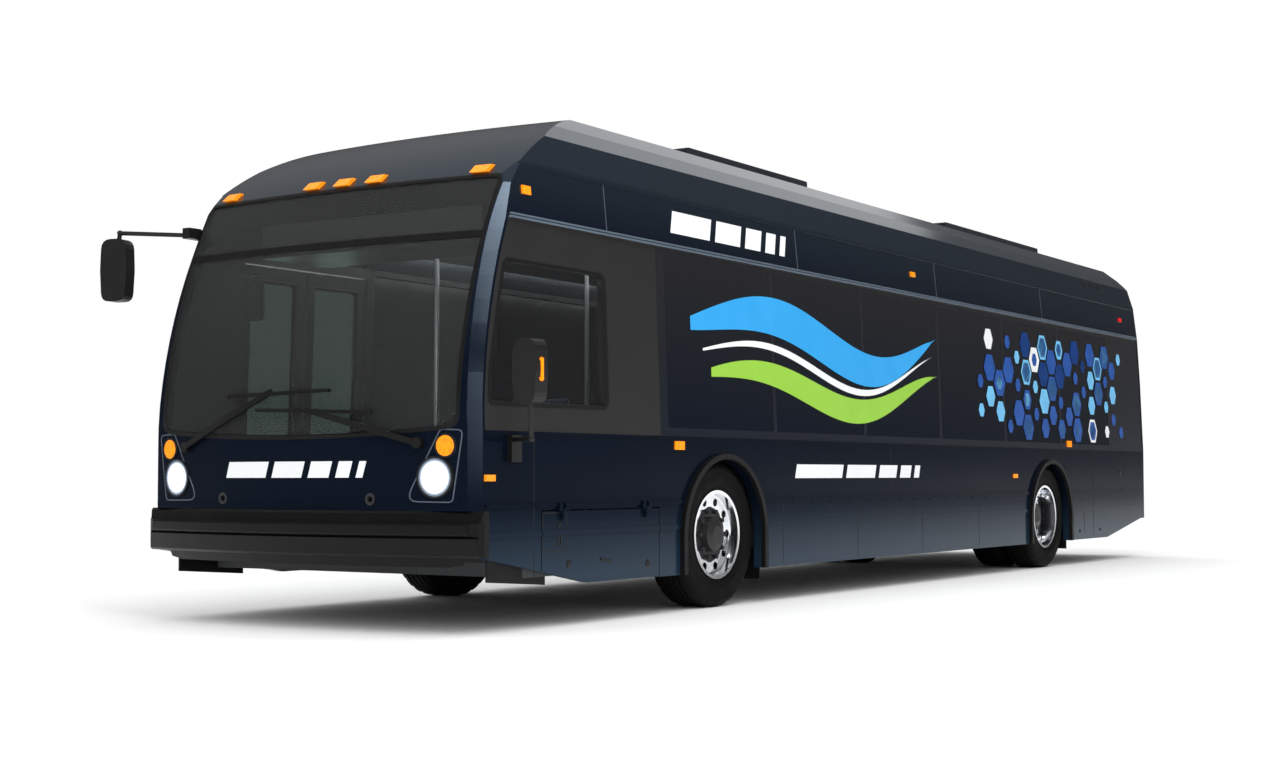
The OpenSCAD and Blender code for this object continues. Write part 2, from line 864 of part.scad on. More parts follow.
module arch_trims() color("black") {
    for (side = [-1, 1], x = [front_axle_x, rear_axle_x]) difference() {
        intersection() {
            side_skin(-trim_out, 0, [x - 1000, x + 1000], [skirt_z, belt_z - 20], side);
            side_cut(side) arch(x, arch_r + trim_w, arch_z - 10);
        }
        side_cut(side) arch(x, arch_r, arch_z);
    }
}

// flaps behind the wheels and splash plates under the upswept front of the skirts
module mud_flaps() color("black") {
    flap_t = 12;
    for (side = [-1, 1], x = [front_axle_x, rear_axle_x]) {
        wall_x = x - well_long + plate_t;
        side_block(side, [wall_x, wall_x + flap_t], [900, inner_w], [160, floor_z]);
    }
    for (side = [-1, 1]) intersection() {
        side_block(side, [nose_x - 815, nose_x - 265], [inner_w - flap_t, inner_w], [0, 500]);
        side_cut(side) polygon([
            [nose_x - 815, skirt_z + 5],
            [nose_x - 265, skirt_z + 45],
            [nose_x - 265, skirt_z + 205],
            [floor_front + 5, skirt_z + 205],
            [floor_front + 5, floor_z - 80 - seat_gap],
            [nose_x - 815, floor_z - 80 - seat_gap]]);
    }
}

// Axles and wheels

module front_axle() color("dimgray") difference() {
    union() {
        translate([front_axle_x + 45, 0, 0]) rotate([90, 0, -90]) linear_extrude(90) polygon(mirrored(
            [[0, 200], [800, 200], [870, tyre_r - 80], [910, tyre_r - 80],
            [910, tyre_r + 70], [840, tyre_r + 70],
             [760, 290], [0, 290]]));
        for (side = [-1, 1]) {
            translate([front_axle_x, side * kingpin_y, tyre_r - 80]) cylinder(r = 52, h = 150, $fn = 48);
            block([front_axle_x - 45, front_axle_x + 45],
                side > 0 ? [900, 930] : [-930, -900], [tyre_r - 80, tyre_r + 70]);
            block([front_axle_x - 45, front_axle_x + 45],
                [side * 480 - 60, side * 480 + 60], [285, floor_z - 80]);
        }
    }
    for (side = [-1, 1]) translate([front_axle_x, side * kingpin_y, 0]) cylinder(r = 28, h = 1000, $fn = 48);
}

module knuckle() {
    translate([front_axle_x, 0, tyre_r]) {
        for (z = [-124, 76]) translate([0, kingpin_y, z]) cylinder(r = 42, h = 38, $fn = 48);
        for (z = [-124, 76]) block([-42, 42], [kingpin_y, kingpin_y + 64], [z, z + 38]);
        translate([0, kingpin_y, -124]) cylinder(r = 28 - run, h = 238, $fn = 48);
        block([-60, 60], [kingpin_y + 60, kingpin_y + 90], [-124, 114]);
        rotate([-90, 0, 0]) translate([0, 0, kingpin_y + 89]) cylinder(r = 50 - run, h = 130, $fn = 48);
    }
}

module knuckle_left() color("dimgray") knuckle();
module knuckle_right() color("dimgray") mirror([0, 1, 0]) knuckle();

// wheel pieces are turned about the axle: radius against distance out from the tyre's middle
tyre_half = [
    [bead_r, tyre_w / 2 - 33],
    [bead_r + 22, tyre_w / 2 - 19],
    [bead_r + 74, tyre_w / 2 - 2],
    [tyre_r - 80, tyre_w / 2],
    [tyre_r - 40, tyre_w / 2 - 4],
    [tyre_r - 16, tyre_w / 2 - 15],
    [tyre_r - 2, tyre_w / 2 - 33],
    [tyre_r, tyre_w / 2 - 85]];
tyre_profile = concat([for (p = tyre_half) [p[0], -p[1]]],
    [for (i = [len(tyre_half) - 1:-1:0]) tyre_half[i]]);

module turned(side, x, y, points) {
    translate([x, side * y, tyre_r]) rotate([-side * 90, 0, 0]) rotate_extrude($fn = 48) polygon(points);
}

module around(side, x, y, n, r) {
    translate([x, side * y, tyre_r]) rotate([-side * 90, 0, 0])
        for (i = [0:n - 1]) rotate(i * 360 / n) translate([r, 0, 0]) children();
}

front_rim = [[50, 0], [110, 0], [110, 52], [262, 60],
    [bead_r - 16, 52], [bead_r - 16, -124], [bead_r, -124], [bead_r, 112],
    [300, 122], [300, 134], [bead_r - 8, 132], [bead_r - 14, 80], [258, 76],
    [120, 70], [112, 118], [60, 138], [0, 138], [0, 122], [50, 122]];

module rim_front(side) {
    difference() {
        turned(side, front_axle_x, tyre_y, front_rim);
        around(side, front_axle_x, tyre_y, 10, 226) translate([0, 0, 30]) cylinder(r = 27, h = 80, $fn = 32);
    }
    around(side, front_axle_x, tyre_y, 10, 160) translate([0, 0, 70]) cylinder(r = 15, h = 34, $fn = 12);
}

module rim_front_left() color("silver") rim_front(1);
module rim_front_right() color("silver") rim_front(-1);
module tyre_front_left() color("black") turned(1, front_axle_x, tyre_y, tyre_profile);
module tyre_front_right() color("black") turned(-1, front_axle_x, tyre_y, tyre_profile);

rear_rim = [[66, -150], [120, -150], [120, -70], [250, -64],
    [bead_r - 14, -90], [bead_r - 14, -124 - twin_gap], [bead_r, -124 - twin_gap], [bead_r, 112],
    [300, 122], [300, 134], [bead_r - 8, 132], [bead_r - 14, -44], [250, -40],
    [150, -46], [138, 20], [124, 44], [60, 52], [0, 52], [0, 36], [66, 36]];

module rim_rear(side) {
    difference() {
        turned(side, rear_axle_x, tyre_y, rear_rim);
        around(side, rear_axle_x, tyre_y, 10, 216) translate([0, 0, -110])
            cylinder(r = 26, h = 100, $fn = 32);
    }
    around(side, rear_axle_x, tyre_y, 10, 172) translate([0, 0, -46]) cylinder(r = 15, h = 32, $fn = 12);
}

module tyres_rear(side) {
    turned(side, rear_axle_x, tyre_y, tyre_profile);
    turned(side, rear_axle_x, tyre_y - twin_gap, tyre_profile);
}

module rim_rear_left() color("silver") rim_rear(1);
module rim_rear_right() color("silver") rim_rear(-1);
module tyres_rear_left() color("black") tyres_rear(1);
module tyres_rear_right() color("black") tyres_rear(-1);

module rear_axle() color("dimgray") {
    translate([rear_axle_x, 0, tyre_r]) rotate([90, 0, 0]) {
        translate([0, 0, -560]) cylinder(r = 95, h = 1120, $fn = 48);
        translate([0, 0, -1100]) cylinder(r = 66 - run, h = 2200, $fn = 48);
        translate([0, 0, -160]) cylinder(r = 190, h = 320, $fn = 48);
    }
    for (side = [-1, 1]) translate([rear_axle_x, side * 420, tyre_r + 80])
        cylinder(r = 100, h = deck_z - 40 - tyre_r - 80, $fn = 40);
}

// Inside

module drive_blocks() color("gray") {
    block([tail_x + 335, tail_x + 1635], [-700, 700], [430, deck_z - 40]);
    block([rear_axle_x - 1765, front_axle_x - 365], [-800, 800], [ceiling_z + 30, roof_z - 222]);
}

// dashboard shelf, its foot, and the steering wheel on its column
dash_x = nose_x - 715;
dash_top = screen_low - 25;

module dashboard() color("black") {
    block([dash_x, nose_x - 245], [-1050, 1130], [dash_top - 330, dash_top]);
    block([dash_x, dash_x + 120], [-900, 1000], [floor_z, dash_top - 330 - seat_gap]);
    translate([dash_x - 11.3, 620, dash_top - 90]) rotate([0, -60, 0]) {
        cylinder(r = 22, h = 160, $fn = 24);
        translate([0, 0, 160]) rotate_extrude($fn = 48) translate([215, 0]) circle(r = 16, $fn = 20);
        for (a = [90, 210, 330]) rotate(a) block([0, 210], [-14, 14], [150, 170]);
    }
}

// bench places: rear edge of the cushion, middle across, floor height, width
bench_y = 740;
bench_w = 860;
row_front = front_axle_x - 1115;
row_rear = rear_door_x + door_w + 450;
low_benches = [for (i = [0:3], side = [-1, 1])
    [row_front - i * (row_front - row_rear) / 3, side * bench_y, floor_z, bench_w]];
high_benches = [for (side = [-1, 1]) [rear_axle_x - 1315, side * bench_y, deck_z, bench_w]];
back_bench = [[tail_x + 435, 0, deck_z, 2 * bench_w + 600]];
driver_seat = [[nose_x - 1525, 620, floor_z, 460]];

// pedestal, cushion and leaning back
module bench(p) {
    w = p[3];
    translate([p[0], p[1], p[2]]) {
        block([120, 320], [-w / 4, w / 4], [0, 380]);
        block([0, 430], [-w / 2, w / 2], [380 + seat_gap, 450]);
        translate([0, 0, 450 + seat_gap]) rotate([0, -12, 0]) block([0, 60], [-w / 2, w / 2], [0, 560]);
    }
}

module seats() color("steelblue") {
    for (p = concat(low_benches, high_benches, back_bench, driver_seat)) bench(p);
}

// upright poles: place along and across, foot
aisle_y = 300;
pole_rows = [[row_front + 450, floor_z], [row_front - 1150, floor_z],
    [row_rear - 350, floor_z], [rear_axle_x - 365, deck_z]];
poles = concat([[nose_x - 1895, -480, floor_z]],
    [for (r = pole_rows, side = [-1, 1]) [r[0], side * aisle_y, r[1]]]);

module stanchions() color("gold") {
    for (p = poles) translate(p) cylinder(r = 17, h = ceiling_z - p[2], $fn = 20);
}

floor_frame();
left_skirt();
right_skirt();
left_side();
right_side();
coves();
ceiling();
roof();
roof_fairings();
roof_units();
front_cap();
front_mask();
screen_frame();
front_glass();
sign_box();
side_windows();
rear_wall();
rear_lid();
skirt_hatch();
front_bumper();
rear_bumper();
headlamps();
amber_lamps();
red_lamps();
mirrors();
wipers();
arch_trims();
mud_flaps();
front_axle();
knuckle_left();
knuckle_right();
rear_axle();
rim_front_left();
tyre_front_left();
rim_front_right();
tyre_front_right();
rim_rear_left();
tyres_rear_left();
rim_rear_right();
tyres_rear_right();
drive_blocks();
dashboard();
seats();
stanchions();
tow_sockets();
front_door_fore();
front_door_aft();
rear_door_fore();
rear_door_aft();
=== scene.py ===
# Looks of the low-floor electric city bus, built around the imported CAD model.
import json
import math
import random

import bmesh
import bpy
from mathutils import Matrix, Vector


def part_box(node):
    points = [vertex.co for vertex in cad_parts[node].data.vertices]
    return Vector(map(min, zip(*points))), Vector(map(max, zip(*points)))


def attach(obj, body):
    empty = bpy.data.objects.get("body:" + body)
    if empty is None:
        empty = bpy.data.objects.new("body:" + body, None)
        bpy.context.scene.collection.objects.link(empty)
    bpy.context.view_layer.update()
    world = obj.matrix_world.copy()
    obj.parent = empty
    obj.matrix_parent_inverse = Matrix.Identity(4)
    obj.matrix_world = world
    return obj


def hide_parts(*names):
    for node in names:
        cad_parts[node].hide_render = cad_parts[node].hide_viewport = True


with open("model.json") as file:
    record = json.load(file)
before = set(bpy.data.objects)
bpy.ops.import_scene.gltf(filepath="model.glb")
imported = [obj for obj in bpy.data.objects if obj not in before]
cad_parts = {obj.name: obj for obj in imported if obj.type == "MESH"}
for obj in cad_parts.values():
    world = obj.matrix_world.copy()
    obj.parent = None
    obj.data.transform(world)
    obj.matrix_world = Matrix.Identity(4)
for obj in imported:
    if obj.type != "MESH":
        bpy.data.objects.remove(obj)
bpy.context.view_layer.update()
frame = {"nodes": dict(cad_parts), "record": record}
nodes = frame["nodes"]

# Places shared with the CAD model, in metres
FRONT_AXLE_X = 3.165
REAR_AXLE_X = -3.035
WHEEL_Z = 0.490
TYRE_Y = 1.110
TWIN_GAP = 0.340
HALF_W = 1.295
BELT_Z = 1.143
GUTTER_Z = 2.370
COVE_Z = 2.720
GUTTER_Y = 1.250
COVE_Y = 1.215
CREASE_Z = 2.920
CREASE_Y = 1.170
NOSE_X = 5.945
BOW_R = 8.650
SCREEN_R = 3.300
SCREEN_Z = 1.050
SCREEN_Y = 1.172
SCREEN_LOW = 1.115
SCREEN_ARC = 13.5
SIGN_BAR_Z = 2.270
SCREEN_TOP = 2.630
PANEL_X = 3.955
# head and turn lamps of the front: offset from the middle, height and radius of the bezel
LAMPS = [(1.029, 0.881, 0.113), (1.098, 1.058, 0.063)]
FLOOR_Z = 0.380
DECK_Z = 0.940
CEILING_Z = 2.500
SIDES = ((1, "left"), (-1, "right"))
LEAVES = ("front_door_fore", "front_door_aft", "rear_door_fore", "rear_door_aft")


# Shader helpers

def new_material(name):
    material = bpy.data.materials.new(name)
    material.use_nodes = True
    tree = material.node_tree
    return material, tree, tree.nodes["Principled BSDF"]


def place_node(tree):
    return tree.nodes.new("ShaderNodeTexCoord").outputs["Object"]


def noise_node(tree, scale, detail=3.0):
    noise = tree.nodes.new("ShaderNodeTexNoise")
    noise.inputs["Scale"].default_value = scale
    noise.inputs["Detail"].default_value = detail
    tree.links.new(place_node(tree), noise.inputs["Vector"])
    return noise.outputs["Fac"]


def range_node(tree, value, low, high, to_low, to_high):
    node = tree.nodes.new("ShaderNodeMapRange")
    node.inputs["From Min"].default_value = low
    node.inputs["From Max"].default_value = high
    node.inputs["To Min"].default_value = to_low
    node.inputs["To Max"].default_value = to_high
    tree.links.new(value, node.inputs["Value"])
    return node.outputs["Result"]


def mix_node(tree, factor, first, second):
    node = tree.nodes.new("ShaderNodeMix")
    node.data_type = "RGBA"
    tree.links.new(factor, node.inputs["Factor"])
    for socket, value in ((node.inputs["A"], first), (node.inputs["B"], second)):
        if isinstance(value, tuple):
            socket.default_value = (*value, 1.0)
        else:
            tree.links.new(value, socket)
    return node.outputs["Result"]


def axis_node(tree, axis):
    split = tree.nodes.new("ShaderNodeSeparateXYZ")
    tree.links.new(place_node(tree), split.inputs["Vector"])
    return split.outputs[axis]


def math_node(tree, operation, *values):
    node = tree.nodes.new("ShaderNodeMath")
    node.operation = operation
    for socket, value in zip(node.inputs, values):
        tree.links.new(value, socket)
    return node.outputs["Value"]


def vector_node(tree, operation, value, second=None):
    node = tree.nodes.new("ShaderNodeVectorMath")
    node.operation = operation
    tree.links.new(value, node.inputs[0])
    if second:
        node.inputs[1].default_value = second
    return node.outputs["Value" if operation == "LENGTH" else "Vector"]


def distance_node(tree, value, centre, axes):
    """Distance from a centre, measured along the axes marked with 1."""
    away = vector_node(tree, "SUBTRACT", value, centre)
    return vector_node(tree, "LENGTH", vector_node(tree, "MULTIPLY", away, axes))


def bump_node(tree, height, strength, distance):
    bump = tree.nodes.new("ShaderNodeBump")
    bump.inputs["Strength"].default_value = strength
    bump.inputs["Distance"].default_value = distance
    tree.links.new(height, bump.inputs["Height"])
    return bump.outputs["Normal"]


def surface(name, color, rough, metal=0.0, specular=0.5, vary=0.08, scale=6.0, grain=0.0):
    """A finish whose colour and roughness wander a little, with an optional grain."""
    material, tree, shader = new_material(name)
    noise = noise_node(tree, scale)
    dark = tuple(c * (1 - vary) for c in color)
    light = tuple(min(1.0, c * (1 + vary)) for c in color)
    tree.links.new(mix_node(tree, noise, dark, light), shader.inputs["Base Color"])
    wander = range_node(tree, noise, 0.3, 0.7, rough * 0.9, min(1.0, rough * 1.1))
    tree.links.new(wander, shader.inputs["Roughness"])
    shader.inputs["Metallic"].default_value = metal
    shader.inputs["Specular IOR Level"].default_value = specular
    if grain:
        tree.links.new(bump_node(tree, noise_node(tree, 900.0), grain, 0.001), shader.inputs["Normal"])
    return material


def lamp(name, color, strength):
    """A lens of small cells that glows, each brightest in its middle."""
    material, tree, shader = new_material(name)
    cells = tree.nodes.new("ShaderNodeTexVoronoi")
    cells.inputs["Scale"].default_value = 55.0
    tree.links.new(place_node(tree), cells.inputs["Vector"])
    tint = mix_node(tree, cells.outputs["Distance"], color, tuple(c * 0.6 for c in color))
    tree.links.new(tint, shader.inputs["Base Color"])
    tree.links.new(tint, shader.inputs["Emission Color"])
    shader.inputs["Emission Strength"].default_value = strength
    shader.inputs["Roughness"].default_value = 0.15
    return material


def headlamp_material():
    """A bright core that dims to a grey reflector ring at the edge of each lens."""
    material, tree, shader = new_material("white lamp")
    either_side = vector_node(tree, "ABSOLUTE", place_node(tree))
    away = distance_node(tree, either_side, (0.0, LAMPS[0][0], LAMPS[0][1]), (0.0, 1.0, 1.0))
    core = range_node(tree, away, 0.055, 0.100, 1.0, 0.0)
    color = mix_node(tree, core, (0.10, 0.12, 0.15), (0.95, 0.97, 1.0))
    glow = mix_node(tree, core, (0.10, 0.14, 0.20), (0.92, 0.96, 1.0))
    tree.links.new(color, shader.inputs["Base Color"])
    tree.links.new(glow, shader.inputs["Emission Color"])
    tree.links.new(range_node(tree, core, 0.0, 1.0, 0.8, 7.0), shader.inputs["Emission Strength"])
    shader.inputs["Roughness"].default_value = 0.1
    return material


def glass(name, color, haze):
    """Tinted glass with a thin haze that keeps part of the light."""
    material, tree, shader = new_material(name)
    noise = noise_node(tree, 3.0)
    tree.links.new(mix_node(tree, noise, color, tuple(c * 0.94 for c in color)), shader.inputs["Base Color"])
    shader.inputs["Transmission Weight"].default_value = 1.0 - haze
    shader.inputs["Roughness"].default_value = 0.0
    shader.inputs["IOR"].default_value = 1.15
    return material


# Materials

NAVY = (0.0022, 0.0044, 0.0104)
# painted reflections: blue-grey on the skirts, a lighter blue on the roof shoulders
SKIRT_REFLECTION_BLUE = (0.011, 0.025, 0.044)
COVE_REFLECTION_BLUE = (0.0075, 0.0125, 0.0190)
FLAKE_BLUE = (0.03, 0.05, 0.09)
# heights between which the skirt's blue-grey, a painted reflection, fades into the navy
SKIRT_FADE = (0.300, 0.725)
HUB_R = 0.185


def paint_material():
    """Gloss navy with fine flakes, with a painted reflection that turns it blue-grey down the skirts and
    lighter towards the roof.
    """
    material, tree, shader = new_material("gloss navy")
    height = axis_node(tree, "Z")
    # painted reflections: blue-grey low on the skirts and a lighter blue between gutter and cove
    low = range_node(tree, height, *SKIRT_FADE, 1.0, 0.0)
    high = range_node(tree, height, GUTTER_Z, COVE_Z, 0.0, 1.0)
    flakes = range_node(tree, noise_node(tree, 220.0), 0.45, 0.9, 0.0, 0.2)
    base = mix_node(tree, high, mix_node(tree, low, NAVY, SKIRT_REFLECTION_BLUE), COVE_REFLECTION_BLUE)
    tree.links.new(mix_node(tree, flakes, base, FLAKE_BLUE), shader.inputs["Base Color"])
    waves = noise_node(tree, 1.3, 1.0)
    tree.links.new(bump_node(tree, waves, 0.06, 0.02), shader.inputs["Normal"])
    shader.inputs["Roughness"].default_value = 0.14
    skirt_gloss = range_node(tree, height, *SKIRT_FADE, 0.15, 0.0)
    upper_gloss = range_node(tree, height, SKIRT_FADE[1], 2.600, 0.03, 0.46)
    tree.links.new(math_node(tree, "MAXIMUM", skirt_gloss, upper_gloss), shader.inputs["Specular IOR Level"])
    shader.inputs["Specular Tint"].default_value = (0.62, 0.80, 1.0, 1.0)
    return material


def side_material(name, rough):
    """Side above the belt: charcoal round the driver, then grey at the top fading to navy."""
    material, tree, shader = new_material(name)
    fade = range_node(tree, axis_node(tree, "Z"), BELT_Z, GUTTER_Z, 0.0, 1.0)
    film = mix_node(tree, fade, (0.003, 0.006, 0.014), (0.016, 0.016, 0.018))
    charcoal = mix_node(tree, noise_node(tree, 4.0), (0.019, 0.019, 0.019), (0.025, 0.024, 0.024))
    ahead = range_node(tree, axis_node(tree, "X"), PANEL_X - 0.001, PANEL_X + 0.001, 0.0, 1.0)
    tree.links.new(mix_node(tree, ahead, film, charcoal), shader.inputs["Base Color"])
    shader.inputs["Roughness"].default_value = rough
    shader.inputs["Specular IOR Level"].default_value = 0.3
    return material


def rim_material(name, x):
    """Polished wheel with a dark hub inside the ring of nuts."""
    material, tree, shader = new_material(name)
    away = distance_node(tree, place_node(tree), (x, 0.0, WHEEL_Z), (1.0, 0.0, 1.0))
    hub = range_node(tree, away, HUB_R - 0.002, HUB_R + 0.002, 1.0, 0.0)
    scuff = noise_node(tree, 24.0)
    bright = mix_node(tree, scuff, (0.80, 0.82, 0.85), (0.93, 0.94, 0.96))
    tree.links.new(mix_node(tree, hub, bright, (0.02, 0.02, 0.022)), shader.inputs["Base Color"])
    tree.links.new(range_node(tree, hub, 0.0, 1.0, 1.0, 0.2), shader.inputs["Metallic"])
    tree.links.new(range_node(tree, hub, 0.0, 1.0, 0.10, 0.45), shader.inputs["Roughness"])
    rings = math_node(tree, "SINE", range_node(tree, away, 0.0, 1.0, 0.0, 2600.0))
    tree.links.new(bump_node(tree, rings, 0.04, 0.001), shader.inputs["Normal"])
    return material


def fabric(name, color):
    """Woven seat cover with a fine cross weave."""
    material, tree, shader = new_material(name)
    threads = [math_node(tree, "SINE", range_node(tree, axis_node(tree, axis), 0.0, 1.0, 0.0, 1500.0))
               for axis in ("X", "Y")]
    weave = math_node(tree, "MULTIPLY", *threads)
    specks = range_node(tree, noise_node(tree, 60.0), 0.4, 0.7, 0.0, 1.0)
    tree.links.new(mix_node(tree, specks, color, tuple(c * 2.2 for c in color)), shader.inputs["Base Color"])
    tree.links.new(bump_node(tree, weave, 0.3, 0.001), shader.inputs["Normal"])
    shader.inputs["Roughness"].default_value = 0.85
    shader.inputs["Sheen Weight"].default_value = 0.3
    return material


paint = paint_material()
side_paint = side_material("side film", 0.3)
window_film = side_material("window film", 0.12)
clear_glass = glass("clear glass", (0.78, 0.81, 0.80), 0.022)
driver_glass = glass("driver glass", (0.58, 0.59, 0.59), 0.015)
door_glass = glass("door glass", (0.36, 0.54, 0.47), 0.0)
bumper_black = surface("bumper black", (0.0045, 0.0045, 0.005), 0.36, specular=0.18, vary=0.2, grain=0.12)
black_rubber = surface("black rubber", (0.004, 0.004, 0.0045), 0.5, specular=0.25, vary=0.2, grain=0.15)
tyre_rubber = surface(
    "tyre rubber", (0.0035, 0.0035, 0.0035), 0.7, specular=0.13, vary=0.25, scale=14.0, grain=0.3)
trim_black = surface("trim black", (0.008, 0.008, 0.009), 0.42, specular=0.35, vary=0.2, grain=0.1)
# gutter rails in a lighter blue-grey metal: a painted highlight, the bright line the rails catch from above
rail_highlight = surface("rail highlight", (0.28, 0.36, 0.46), 0.2, metal=0.7, vary=0.1, scale=4.0)
cast_grey = surface("cast grey", (0.03, 0.03, 0.033), 0.6, metal=0.4, vary=0.25, scale=30.0, grain=0.3)
floor_grey = surface("floor grey", (0.05, 0.053, 0.056), 0.7, vary=0.2, scale=25.0)
lining = surface("lining", (0.30, 0.31, 0.31), 0.6, vary=0.06)
strip_light = lamp("strip light", (0.95, 0.98, 1.0), 9.0)
block_grey = surface("block grey", (0.012, 0.016, 0.024), 0.4, vary=0.15, grain=0.1)
seat_cloth = fabric("seat cloth", (0.012, 0.030, 0.075))
seat_shell = surface("seat shell", (0.03, 0.032, 0.035), 0.5, vary=0.1, grain=0.1)
pole_steel = surface("pole steel", (0.6, 0.6, 0.6), 0.3, metal=1.0)
mirror_glass = surface("mirror glass", (0.75, 0.78, 0.80), 0.03, metal=1.0, vary=0.02)
sign_black = surface("sign black", (0.022, 0.022, 0.024), 0.4)
white_lamp = headlamp_material()
amber_lamp = lamp("amber lamp", (1.0, 0.27, 0.005), 0.75)
red_lamp = lamp("red lamp", (0.75, 0.01, 0.01), 0.4)
seam_dark = surface("seam dark", (0.001, 0.001, 0.002), 0.6)
# light blue-grey seam beads: a painted highlight, the light line along panel edges
seam_highlight = surface("seam highlight", (0.075, 0.095, 0.125), 0.35, vary=0.1)
print_cyan = surface("print cyan", (0.020, 0.36, 0.80), 0.35, vary=0.05)
print_lime = surface("print lime", (0.30, 0.60, 0.05), 0.35, vary=0.05)
print_white = surface("print white", (0.86, 0.88, 0.90), 0.35, vary=0.03)
print_blue = surface("print blue", (0.005, 0.075, 0.36), 0.35, vary=0.3, scale=8.0)
print_sky = surface("print sky", (0.16, 0.52, 0.86), 0.35, vary=0.2, scale=8.0)
rims = {"front": rim_material("front rim", FRONT_AXLE_X), "rear": rim_material("rear rim", REAR_AXLE_X)}

FINISHES = {
    "body_paint": paint, "floor_grey": floor_grey, "lining": lining, "clear_glass": clear_glass,
    "film_glass": window_film, "sign_black": sign_black, "bumper_black": bumper_black,
    "lamp_white": white_lamp, "lamp_amber": amber_lamp, "lamp_red": red_lamp,
    "trim_black": trim_black, "cast_grey": cast_grey,
    "rim_bright": rims["front"], "tyre_black": tyre_rubber, "block_grey": block_grey, "seat_blue": seat_cloth,
    "pole_steel": pole_steel, "socket_steel": cast_grey, "door_dark": trim_black,
}


# Finishes of the CAD pieces

def smooth(obj, degrees=32.0):
    obj.data.shade_smooth()
    obj.data.set_sharp_from_angle(angle=math.radians(degrees))


def second_finish(node, material, wanted):
    """Faces of a CAD node that the test picks take another material."""
    mesh = nodes[node].data
    mesh.materials.append(material)
    for face in mesh.polygons:
        if wanted(face.center):
            face.material_index = len(mesh.materials) - 1


def side_y(z):
    """Half width of the body's skin at a height."""
    if z <= BELT_Z:
        return HALF_W
    if z <= GUTTER_Z:
        return HALF_W + (GUTTER_Y - HALF_W) * (z - BELT_Z) / (GUTTER_Z - BELT_Z)
    if z <= COVE_Z:
        return GUTTER_Y + (COVE_Y - GUTTER_Y) * (z - GUTTER_Z) / (COVE_Z - GUTTER_Z)
    return COVE_Y + (CREASE_Y - COVE_Y) * (z - COVE_Z) / (CREASE_Z - COVE_Z)


for part in frame["record"]["subparts"]:
    obj = nodes[part["node"]]
    obj.data.materials.clear()
    obj.data.materials.append(FINISHES[part["material_slot"]])
    smooth(obj)
for name in ("left_side", "right_side"):
    nodes[name].data.materials[0] = side_paint
for name in ("arch_trims", "mud_flaps", "wipers"):
    nodes[name].data.materials[0] = black_rubber
second_finish("side_windows", driver_glass, lambda c: c.x > PANEL_X and c.y > 0)
# the gutter rails take the painted highlight
second_finish("coves", rail_highlight, lambda c: abs(c.y) > side_y(c.z) + 0.002 and c.z < GUTTER_Z + 0.05)
for end, x, nut_r, nut_y in (("front", FRONT_AXLE_X, 0.160, 1.1805), ("rear", REAR_AXLE_X, 0.172, 1.0645)):
    for side in ("left", "right"):
        nodes[f"rim_{end}_{side}"].data.materials[0] = rims[end]
        second_finish(f"rim_{end}_{side}", cast_grey, lambda c: abs(c.y) > nut_y
                      and abs(math.hypot(c.x - x, c.z - WHEEL_Z) - nut_r) < 0.0175)
for leaf in LEAVES:
    low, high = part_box(leaf)
    second_finish(leaf, door_glass, lambda c: low.x + 0.085 < c.x < high.x - 0.085
                  and low.z + 0.13 < c.z < high.z - 0.1)


# Making pieces

def add_piece(name, mesh, material, body="chassis"):
    bmesh.ops.recalc_face_normals(mesh, faces=mesh.faces)
    data = bpy.data.meshes.new(name)
    mesh.to_mesh(data)
    mesh.free()
    data.materials.append(material)
    obj = bpy.data.objects.new(name, data)
    bpy.context.scene.collection.objects.link(obj)
    smooth(obj, 40.0)
    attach(obj, body)
    return obj


def add_loft(mesh, rows, closed_rows=False, closed_ends=False):
    """Quads between rows of points; rows or the row order may close on themselves."""
    made = [[mesh.verts.new(p) for p in row] for row in rows]
    count = len(made)
    for i in range(count if closed_rows else count - 1):
        first, second = made[i], made[(i + 1) % count]
        for k in range(len(first) if closed_ends else len(first) - 1):
            n = (k + 1) % len(first)
            mesh.faces.new((first[k], first[n], second[n], second[k]))
    return made


def add_box(mesh, low, high, edge=0.004):
    """A box with its edges bevelled."""
    box = bmesh.new()
    bmesh.ops.create_cube(box, size=1.0)
    for vert in box.verts:
        vert.co = [low[i] + (vert.co[i] + 0.5) * (high[i] - low[i]) for i in range(3)]
    bmesh.ops.bevel(box, geom=box.edges[:], offset=edge, segments=2, affect="EDGES")
    add_mesh(mesh, box)


def add_mesh(mesh, other, place=None):
    """Moves the faces of one mesh into another."""
    copies = {v: mesh.verts.new(place @ v.co if place else v.co) for v in other.verts}
    for face in other.faces:
        mesh.faces.new([copies[v] for v in face.verts])
    other.free()


def add_disc(mesh, centre, axis, rings):
    """A turned form: rings are (radius, place along the axis)."""
    turn = Vector(axis).to_track_quat("Z", "Y").to_matrix()
    rows = []
    for r, along in rings:
        rows.append([Vector(centre) + turn @ Vector((r * math.cos(a), r * math.sin(a), along))
                     for a in [math.radians(15 * i) for i in range(24)]])
    made = add_loft(mesh, rows, closed_ends=True)
    mesh.faces.new(made[-1])
    mesh.faces.new(made[0][::-1])


def round_corner(a, p, b, r):
    """Points round the corner at p between a and b."""
    if r == 0:
        return [p]
    u, v = (Vector(a) - Vector(p)).normalized(), (Vector(b) - Vector(p)).normalized()
    t = r / math.tan(u.angle(v) / 2)
    start, end = Vector(p) + u * t, Vector(p) + v * t
    return [tuple((1 - k) ** 2 * start + 2 * k * (1 - k) * Vector(p) + k * k * end)
            for k in (0, 0.25, 0.5, 0.75, 1)]


def rounded(points):
    """An outline whose corners are given as place, place and rounding."""
    flat = [(p[0], p[1]) for p in points]
    count = len(points)
    return [q for i in range(count)
            for q in round_corner(flat[i - 1], flat[i], flat[(i + 1) % count], points[i][2])]


def rounded_box(x0, z0, x1, z1, r):
    return rounded([(x0, z0, r), (x1, z0, r), (x1, z1, r), (x0, z1, r)])


def circle(a, b, r, count=36):
    turns = [2 * math.pi * i / count for i in range(count)]
    return [(a + r * math.cos(turn), b + r * math.sin(turn)) for turn in turns]


